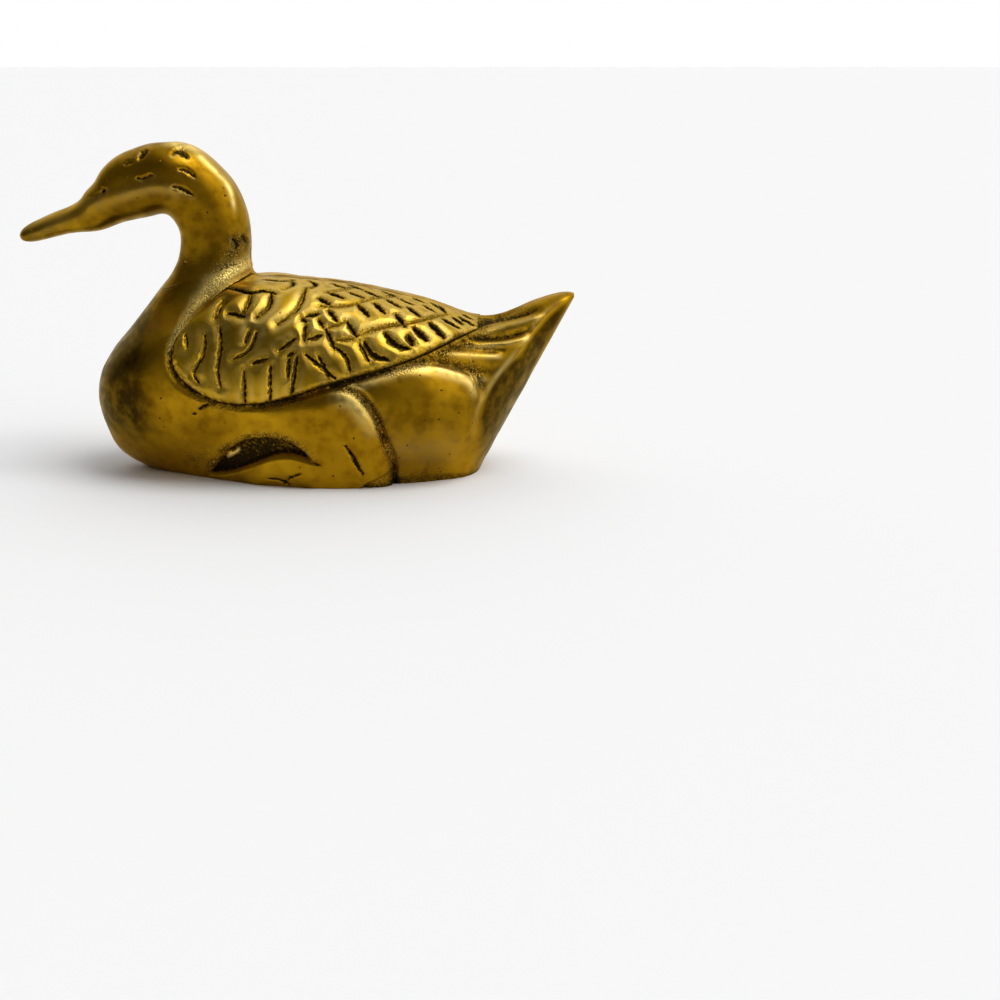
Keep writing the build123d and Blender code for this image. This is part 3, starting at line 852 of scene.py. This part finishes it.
# Depth, breadth and lines of each kind of cut, measured along the duck and then round its back
feather_cuts = {
    "scales": (0.80, 0.46, [
        [(-18.7, 13.9), (-16.5, 11.5), (-13.7, 12.6), (-9.8, 14.3), (-7.4, 13.6), (-4.5, 14.2)],
        [(-10.1, 14.6), (-10.6, 18.0), (-11.6, 20.8)], [(-5.3, 14.4), (-5.5, 18.3), (-8.2, 21.4)],
        [(2.9, 10.0), (2.5, 15.1), (1.3, 19.1), (-3.0, 23.3)], [(-16.9, 17.0), (-18.1, 21.8)],
        [(-15.2, 20.5), (-12.9, 20.9), (-11.3, 21.3)], [(-8.0, 5.0), (-4.0, 6.2), (-1.0, 4.6)],
        [(-1.0, 6.0), (-0.6, 9.0), (-2.5, 12.0)], [(3.0, 4.0), (5.0, 7.0), (4.0, 10.0)],
    ]),
    "long strokes": (0.75, 0.38, [
        [(-25.4, 25.1), (-25.0, 28.6)], [(-20.6, 25.7), (-21.1, 30.8), (-23.2, 35.5), (-22.1, 37.1)],
        [(-17.0, 24.0), (-16.6, 28.9), (-17.3, 33.7), (-16.6, 38.3)], [(-9.7, 24.7), (-10.6, 27.7)],
        [(-8.0, 25.3), (-9.9, 29.8), (-13.6, 31.7)], [(-2.5, 29.8), (1.3, 27.0)],
        [(-8.8, 32.8), (-5.3, 31.7)], [(-0.3, 31.2), (0.9, 30.4)], [(-10.9, 34.4), (-10.8, 42.4)],
        [(-4.4, 33.3), (-4.7, 42.0)], [(0.0, 31.8), (-0.2, 35.9)], [(1.9, 31.4), (0.4, 40.6)],
    ]),
    "middle strokes": (0.75, 0.42, [
        [(2.6, 21.6), (3.8, 22.6)], [(3.8, 21.1), (6.5, 20.2)], [(9.0, 19.1), (11.1, 22.0)],
        [(6.8, 21.8), (7.9, 23.8)], [(3.7, 23.8), (3.6, 27.3)], [(8.6, 24.4), (10.9, 29.1)],
        [(4.5, 27.0), (7.6, 25.9)], [(13.7, 22.1), (16.0, 25.7)], [(11.3, 28.8), (13.7, 31.3), (14.7, 34.3)],
        [(7.2, 31.0), (9.5, 35.8)], [(4.1, 30.7), (7.4, 33.3), (11.0, 36.2)], [(16.9, 27.7), (19.1, 31.8)],
    ]),
    "short barbs": (0.85, 0.50, [
        [(8.2, 11.5), (12.2, 14.1)], [(13.4, 9.7), (17.1, 12.4)], [(17.1, 6.3), (20.6, 9.3)],
        [(6.5, 15.0), (8.9, 16.9)], [(15.9, 15.9), (18.7, 19.5)], [(19.8, 14.1), (22.5, 17.8)],
        [(22.9, 10.7), (26.2, 14.2)], [(26.1, 7.7), (29.2, 10.3)], [(28.2, 13.4), (30.9, 17.0)],
        [(32.2, 8.6), (34.9, 11.8)], [(36.0, 4.8), (37.4, 9.2)], [(25.2, 17.8), (27.5, 21.6)],
        [(9.0, 4.4), (12.2, 6.6)], [(13.2, 3.4), (16.4, 5.6)], [(21.6, 3.6), (24.8, 5.9)],
        [(29.0, 3.4), (32.0, 5.8)], [(33.8, 3.8), (36.2, 7.0)], [(41.6, 4.0), (44.0, 7.6)],
    ]),
    "almond cuts": (1.00, 0.72, [
        [(18.1, 27.2), (19.9, 30.3), (23.6, 31.5)], [(23.0, 24.5), (26.0, 27.7), (28.5, 28.1)],
        [(28.5, 24.3), (29.4, 27.0)], [(29.7, 21.6), (32.7, 25.1)], [(33.5, 18.7), (37.0, 22.9)],
        [(36.9, 14.9), (40.4, 16.9)], [(41.0, 8.7), (44.4, 12.1)], [(39.4, 10.8), (41.4, 13.8)],
    ]),
    "row lines": (0.40, 0.34, [
        [(6.9, 17.8), (11.2, 17.5), (17.8, 13.3), (24.5, 5.9)], [(7.9, 11.9), (10.7, 9.7), (13.4, 6.0)],
        [(15.9, 25.8), (20.7, 23.4), (28.9, 20.1), (34.0, 16.0), (38.2, 9.0)], [(9.2, 23.9), (12.9, 22.1)],
        [(11.0, 26.9), (15.0, 26.5)],
    ]),
}


def on_form(x, z):
    """Station and turn of places on the left side, given in the side view: Newton's method from a table."""
    table_stations = np.linspace(seat_station, 0.9, 240)
    table_turns = np.linspace(0.05, 2.2, 120)
    stations, turns = np.meshgrid(table_stations, table_turns, indexing="ij")
    table = form(stations, turns)
    apart = (table[..., 0].ravel() - x[:, None]) ** 2 + (table[..., 2].ravel() - z[:, None]) ** 2
    best = apart.argmin(axis=1)
    station = stations.ravel()[best]
    turn = turns.ravel()[best]
    small = 1e-4
    for _ in range(6):
        here = form(station, turn)
        by_station = (form(station + small, turn) - here) / small
        by_turn = (form(station, turn + small) - here) / small
        miss_x = x - here[:, 0]
        miss_z = z - here[:, 2]
        scale = by_station[:, 0] * by_turn[:, 2] - by_turn[:, 0] * by_station[:, 2]
        station = station + np.clip((miss_x * by_turn[:, 2] - by_turn[:, 0] * miss_z) / scale, -0.01, 0.01)
        turn = turn + np.clip((by_station[:, 0] * miss_z - miss_x * by_station[:, 2]) / scale, -0.1, 0.1)
    return station, turn


def wing_relief(points):
    """Cuts and the pillows between them, as heights, and the marks of the chased wing. The cuts are laid out
    along the duck and round its back. A pillow rises with the distance from the nearest cut."""
    pillow_rise = 0.45
    step_rise = 0.30
    along = points[..., 0]
    across = round_radius * np.arctan2(-points[..., 1], points[..., 2] - round_height)
    ragged = 0.14 * uneven(along, across, 0.8)
    wobble = 1 + 0.38 * uneven(along, across, 1.5)
    cut = np.zeros(along.shape)
    step = np.zeros(along.shape)
    dark = np.zeros(along.shape)
    clear = np.full(along.shape, np.inf)
    for depth, breadth, strokes in feather_cuts.values():
        for stroke in strokes:
            gap, side, way = beside(along, across, stroke, 4 * len(stroke) - 3)
            swell = breadth * wobble * (0.45 + 0.55 * np.sin(np.pi * np.clip(way, 0.02, 0.98)))
            near = np.maximum(gap + ragged, 0) / (swell * np.where(side > 0, 1.30, 0.85))
            cut = np.minimum(cut, -depth * np.exp(-(near**3)))
            # Painted shade: the dark of each cut is shifted towards one wall.
            shadow = (np.abs(gap * side + 0.32 * swell) + ragged) / (0.9 * swell)
            dark = np.maximum(dark, min(0.9, 1.2 * depth) * np.exp(-(shadow**4)))
            clear = np.minimum(clear, gap)
    for stroke in feather_cuts["row lines"][2]:
        gap, side, way = beside(along, across, stroke, 13)
        ends = between(way, 0, 1, 0.35, 0.35)
        step += np.where(side < 0, step_rise * ends * np.exp(-gap / 2.2), 0)
    pillow = pillow_rise * (1 - np.exp(-((clear / 1.7) ** 2))) + step
    # Painted highlight: pillow tops near the cuts are painted pale, most on the upper wing where the light
    # falls, with some real wear.
    sheen_and_wear = mix(0.15, 0.50, ease((33 - across) / 12) * ease((along + 16) / 12))
    grain = 0.6 * hump(clear, 0.5, 0.5) + 0.22 * ease((along - 5) / 20) + 0.25 * ease((16 - across) / 10)
    marks = {
        "dark": dark,
        "grain": grain,
        "worn": sheen_and_wear * hump(clear, 1.6, 1.0),
        "brown": 0.40 * spot(along, across, (-11.0, 26.0), (9.0, 5.0)),
    }
    return cut, pillow, marks


def wing_plaque():
    """Left wing: ruled between the line beside the back and the wing's edge, both on the form. Its edge is
    let down into the bed, and it lies flush beside the back and at its rear end."""
    rows = 401
    columns = 221
    coarser = 20
    edge_drop = 0.5
    edge_start = 0.012
    front_shift = 0.006
    rear_shift = 0.004
    edge = along_line(wing_edge, np.linspace(edge_start, 1, rows))
    edge_station, edge_turn = on_form(edge[:, 0], edge[:, 1])
    back = np.linspace(edge_station[0] + front_shift, edge_station[-1] + rear_shift, rows)
    half_width = section_law(back)[:, 4]
    upper = section_law(back)[:, 6]
    back_turn = np.arcsin((wing_top_gap / half_width) ** (upper / 2))
    out = np.linspace(0, 1, columns)[None, :]
    station = mix(back[:, None], edge_station[:, None], out)
    turn = mix(back_turn[:, None], edge_turn[:, None], out)
    skin = form(station, turn)
    cut, pillow, marks = wing_relief(skin)
    step_out = np.linalg.norm(np.diff(skin, axis=1), axis=-1)
    from_back = np.insert(np.cumsum(step_out, axis=1), 0, 0, axis=1)
    to_edge = from_back[:, -1:] - from_back
    to_end = np.abs(skin[..., 0] - skin[-1:, :, 0])
    nibbles = 0.3 * uneven(skin[..., 0], skin[..., 2], 0.9) * ease(to_edge / 0.6)
    nibbled = np.maximum(to_edge + nibbles, 0)
    rim = 1 - np.exp(-nibbled / 0.7)
    raised = ease((from_back - 4) / 10) * ease(to_end / 6)
    height = mix(-edge_drop, wing_rise * raised, rim) + rim * (cut * ease(to_end / 2) + pillow * raised)
    for label, least in (
        ("dark", 0.8 * hump(nibbled, 0.0, 0.5)), ("dark", 0.6 * hump(to_end, 0.0, 0.9)),
        ("grain", 0.8 * hump(nibbled, 0.0, 1.6)), ("grain", 0.7 * ease((7 - to_end) / 7)),
    ):
        marks[label] = np.maximum(marks[label], least)
    outer = raise_skin(skin, height)
    inner = form(station[::coarser, ::coarser], turn[::coarser, ::coarser], wing_bed)
    for surface in (outer, inner):
        surface[..., 1] = np.minimum(surface[..., 1], -wing_top_gap + 0.1)
    points, faces = shell(outer, inner)
    return points, faces, marks


chased_brass = brass_material("chased_brass", (0.54, 0.316, 0.013, 1), (0.26, 0.138, 0.003, 1), 0.5)
wing_points, wing_faces, wing_marks = wing_plaque()
far_points, far_faces = mirrored(wing_points, wing_faces)
left_wing = add_piece("left_wing_plaque", wing_points, wing_faces, wing_marks, "chased_brass", chased_brass)
right_wing = add_piece("right_wing_plaque", far_points, far_faces, wing_marks, "chased_brass", chased_brass)
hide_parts("left_wing")
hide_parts("right_wing")

# Neck ring: the braze that runs round the foot of the neck, dressed down to a narrow band.
ring_width = 0.6
ring_fullness = 0.06
bore_radius = 5.7
round_turns = np.linspace(0, 2 * np.pi, 241)[:-1]
station_step = 0.001
step_rows = section_law(np.array([seat_station, seat_station - station_step]))[:, :2]
seat_step = ring_width / np.linalg.norm((step_rows[0] - step_rows[1]) / station_step)
head_end = seat_station - seat_step


def neck_ring():
    """Closed ring: the skin from the neck's end to the seat, a little full, and a bore round the spigot."""
    hair = 0.02 * seat_step
    upper = form(head_end + hair, round_turns)
    middle = form(mix(head_end, seat_station, 0.5), round_turns, -ring_fullness)
    lower = form(seat_station - hair, round_turns)

    def bore(ring):
        centre = ring.mean(axis=0)
        return centre + bore_radius * unit(ring - centre)

    rings = np.stack([upper, middle, lower, bore(lower), bore(upper)])
    index = np.arange(rings.size // 3).reshape(len(rings), -1)
    faces = tube_faces(np.vstack([index, index[:1]]))
    return rings.reshape(-1, 3), faces


ring_points, ring_faces = neck_ring()
ring_marks = body_relief(ring_points[:, 0], -np.abs(ring_points[:, 1]), ring_points[:, 2])[1]
ring = add_piece("neck_ring", ring_points, ring_faces, ring_marks, "braze", braze)
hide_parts("neck_braze_ring")

# Head and neck: one solid casting, filed smooth from the bill to the nape and brazed on by its spigot.
# A few short chisel cuts mark the feathers of the head, and a small punch mark stands for each nostril.
spigot_radius = 5.5
spigot_length = 13.0

# Depth, breadth and line of each chisel mark on the head and neck
head_cuts = [
    (0.60, 0.75, [(-35.9, 81.1), (-36.8, 80.5), (-37.4, 79.6)]),
    (0.35, 0.60, [(-39.2, 78.9), (-41.0, 78.2)]),
    (0.45, 0.50, [(-37.9, 74.9), (-36.4, 74.8), (-35.0, 75.4), (-34.2, 75.7)]),
    (0.55, 0.60, [(-29.3, 80.7), (-28.4, 81.2), (-27.2, 80.7), (-26.0, 79.7)]),
    (0.50, 0.52, [(-27.5, 77.0), (-26.2, 76.8), (-25.0, 76.0), (-24.2, 75.3)]),
    (0.60, 0.55, [(-29.2, 72.8), (-27.4, 72.4), (-25.8, 71.5), (-24.7, 70.8)]),
    (0.60, 0.62, [(-47.2, 71.4), (-46.5, 71.9)]),
    (0.12, 0.55, [(-50.4, 69.7), (-48.6, 70.5), (-47.2, 71.2)]),
    (0.45, 0.45, [(-15.2, 59.6), (-14.5, 58.6), (-14.7, 57.4)]),
    (0.40, 0.40, [(-13.2, 60.2), (-12.6, 58.6)]),
    (0.35, 0.30, [(-27.7, 53.7), (-27.5, 53.8)]),
]
cheek_line = [
    (-66.1, 61.5), (-59.9, 63.9), (-53.9, 66.7), (-46.7, 68.9), (-40.0, 71.0), (-32.7, 72.6), (-28.6, 71.6),
]
throat_line = [(-43.7, 66.9), (-38.7, 68.2), (-33.0, 69.0), (-29.9, 68.6)]
nape_line = [
    (-33.5, 82.6), (-30.3, 82.5), (-27.5, 82.0), (-24.6, 80.6), (-20.9, 77.5), (-17.8, 74.2), (-16.0, 71.2),
    (-15.2, 68.5), (-14.2, 64.8),
]
pitted_line = [(-14.2, 58.6), (-15.6, 55.4), (-18.6, 52.6)]


def head_relief(x, y, z):
    """Height of the head's cuts, cheek, throat, nape and brow, and the marks of the skin, with the rough
    band and the pitted patch at the foot of the neck."""
    cheek_rise = 0.5
    throat_depth = 0.35
    nape_rise = 0.55
    brow_rise = 1.2
    throat_corner_depth = 0.5
    height = 0.12 * uneven(x, z, 6.0)
    dark = np.zeros(x.shape)
    worn = np.zeros(x.shape)
    ragged = 0.22 * uneven(x, z, 0.5)
    for depth, breadth, points in head_cuts:
        gap, side, way = beside(x, z, points, 13)
        near = np.maximum(gap + ragged, 0)
        swell = breadth * (0.5 + 0.5 * np.sin(np.pi * np.clip(way, 0.03, 0.97)))
        height += 0.05 * depth * hump(gap, 1.8 * breadth, 0.5) - depth * np.exp(-((near / swell) ** 3))
        dark = np.maximum(dark, min(1, 1.5 * depth) * np.exp(-((near / (0.8 * swell)) ** 4)))
        # Painted highlight on one lip of each cut, with some wear.
        worn = np.maximum(worn, 0.3 * depth * hump(gap, 1.4 * breadth, 0.35) * (side < 0))
    gap, side, way = beside(x, z, cheek_line, 40)
    height += cheek_rise * hump(gap, 0.0, 2.0) * ease(way / 0.3)
    # Painted highlight along the cheek ridge.
    worn += 0.12 * hump(gap, 0.0, 1.6)
    gap, side, way = beside(x, z, throat_line, 20)
    height -= throat_depth * hump(gap, 0.0, 2.2)
    gap, side, way = beside(x, z, nape_line, 40)
    ends = between(way, 0, 1, 0.15, 0.2)
    height += nape_rise * np.exp(-gap / 0.6) * ends
    # Painted highlight: a pale line along the nape crest.
    worn += hump(gap, 0.0, 0.45) * ends
    height += brow_rise * spot(x, z, (-52.6, 71.2), (2.4, 2.6))
    height -= throat_corner_depth * spot(x, z, (-33.0, 65.5), (2.5, 2.5))
    gap, side, way = beside(x, z, wing_edge, 100)
    band = nape_band(gap * side, way, -np.abs(y))
    gap, side, way = beside(x, z, pitted_line, 12)
    patch = hump(gap, 0.0, 2.2)
    return height, {
        "dark": dark + 0.42 * patch,
        "grain": 0.7 * band + patch + 0.25 * spot(x, z, (-58.0, 60.5), (10.0, 2.0)),
        "worn": worn + band,
        # Painted shade low on the neck, over tarnish and the pitted patch; the bill is kept lighter.
        "brown": 0.18 + 0.48 * hump(z, 57.0, 10.0) + 0.25 * patch - 0.12 * ease((-48 - x) / 10),
    }


def head_casting():
    """Skin from the bill tip to the neck's end, closed there by a shoulder and the spigot."""
    rows = 300
    columns = 272
    tip_fade = 0.01
    neck_fade = 0.014
    tip_rounding = 0.15
    station = np.linspace(0, head_end, rows)
    turns = np.linspace(0, 2 * np.pi, columns + 1)[:-1]
    skin = form(station[:, None], turns[None, :])
    height, marks = head_relief(skin[..., 0], skin[..., 1], skin[..., 2])
    height *= (ease(station / tip_fade) * ease((head_end - station) / neck_fade))[:, None]
    along = np.gradient(skin, axis=0)
    around = (np.roll(skin, -1, axis=1) - np.roll(skin, 1, axis=1)) / 2
    outer = skin + unit(np.cross(around, along)) * height[..., None]
    centre = outer[-1].mean(axis=0)
    spigot_top = centre + spigot_radius * unit(outer[-1] - centre)
    top_x, top_z, foot_x, foot_z = section_law(np.array([head_end]))[0, :4]
    lean = unit(np.array([top_x - foot_x, top_z - foot_z]))
    spigot_end = spigot_top + spigot_length * np.array([lean[1], 0, -lean[0]])
    rings = np.concatenate([outer, spigot_top[None], spigot_end[None]])
    index = np.arange(rings.shape[0] * columns).reshape(-1, columns)
    after = np.roll(index, -1, axis=1)
    tip = np.full(columns, index.size)
    end = tip + 1
    faces = tube_faces(index)
    faces += np.stack([tip, after[0], index[0]], axis=-1).tolist()
    faces += np.stack([end, index[-1], after[-1]], axis=-1).tolist()
    tip_point = outer[0].mean(axis=0) - (tip_rounding, 0, 0)
    points = np.vstack([rings.reshape(-1, 3), tip_point, spigot_end.mean(axis=0)])
    return points, faces, marks


head_points, head_faces, head_marks = head_casting()
head = add_piece("head_and_neck_casting", head_points, head_faces, head_marks, "cast_brass", cast_brass)
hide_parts("head_and_neck")

# Studio: a pale floor in a plain room that is white behind the duck and dim on the near left. A large soft
# light shines from high on the right and a weaker one from the near right. The camera looks down a little on
# the duck's left side.
floor_mesh = bpy.data.meshes.new("floor")
floor_mesh.from_pydata([(-6, -6, 0), (6, -6, 0), (6, 6, 0), (-6, 6, 0)], [], [(0, 1, 2, 3)])
floor = bpy.data.objects.new("floor", floor_mesh)
bpy.context.scene.collection.objects.link(floor)
floor_paint = bpy.data.materials.new("floor_paint")
floor_paint.use_nodes = True
paint = floor_paint.node_tree.nodes["Principled BSDF"]
paint.inputs["Base Color"].default_value = (0.93, 0.93, 0.93, 1)
paint.inputs["Roughness"].default_value = 0.9
floor_mesh.materials.append(floor_paint)

world = bpy.data.worlds.new("studio")
bpy.context.scene.world = world
world.use_nodes = True
room_nodes = world.node_tree.nodes
room_links = world.node_tree.links
room = room_nodes["Background"]
room.inputs["Color"].default_value = (1, 1, 1, 1)
direction = room_nodes.new("ShaderNodeTexCoord")
from_near_left = room_nodes.new("ShaderNodeVectorMath")
from_near_left.operation = "DOT_PRODUCT"
from_near_left.inputs[1].default_value = (0.5, 0.85, 0.15)
room_light = room_nodes.new("ShaderNodeMapRange")
room_light.interpolation_type = "SMOOTHSTEP"
for socket, number in zip(("From Min", "From Max", "To Min", "To Max"), (-0.45, 0.65, 0.12, 1.0)):
    room_light.inputs[socket].default_value = number
room_links.new(direction.outputs["Generated"], from_near_left.inputs[0])
room_links.new(from_near_left.outputs["Value"], room_light.inputs["Value"])
room_links.new(room_light.outputs["Result"], room.inputs["Strength"])

for name, strength, spread, shining in (
    ("key", 1.3, 40, (-0.42, 0.15, -0.87)),
    ("side", 0.7, 50, (-0.80, 0.50, -0.32)),
):
    lamp = bpy.data.lights.new(name, "SUN")
    lamp.energy = strength
    lamp.angle = np.radians(spread)
    light = bpy.data.objects.new(name, lamp)
    light.rotation_euler = Vector(shining).to_track_quat("-Z", "Y").to_euler()
    bpy.context.scene.collection.objects.link(light)

picture_width = 1000
focal_length = 1750.3
camera = bpy.data.cameras.new("camera")
camera.sensor_width = 36
camera.lens = camera.sensor_width * focal_length / picture_width
eye = bpy.data.objects.new("camera", camera)
eye.location = (0.05113, -0.445, 0.1086)
aim = Vector((0.05113, 0, -0.0094))
eye.rotation_euler = (aim - eye.location).to_track_quat("-Z", "Y").to_euler()
bpy.context.scene.collection.objects.link(eye)
bpy.context.scene.camera = eye
bpy.context.scene.view_settings.view_transform = "Standard"
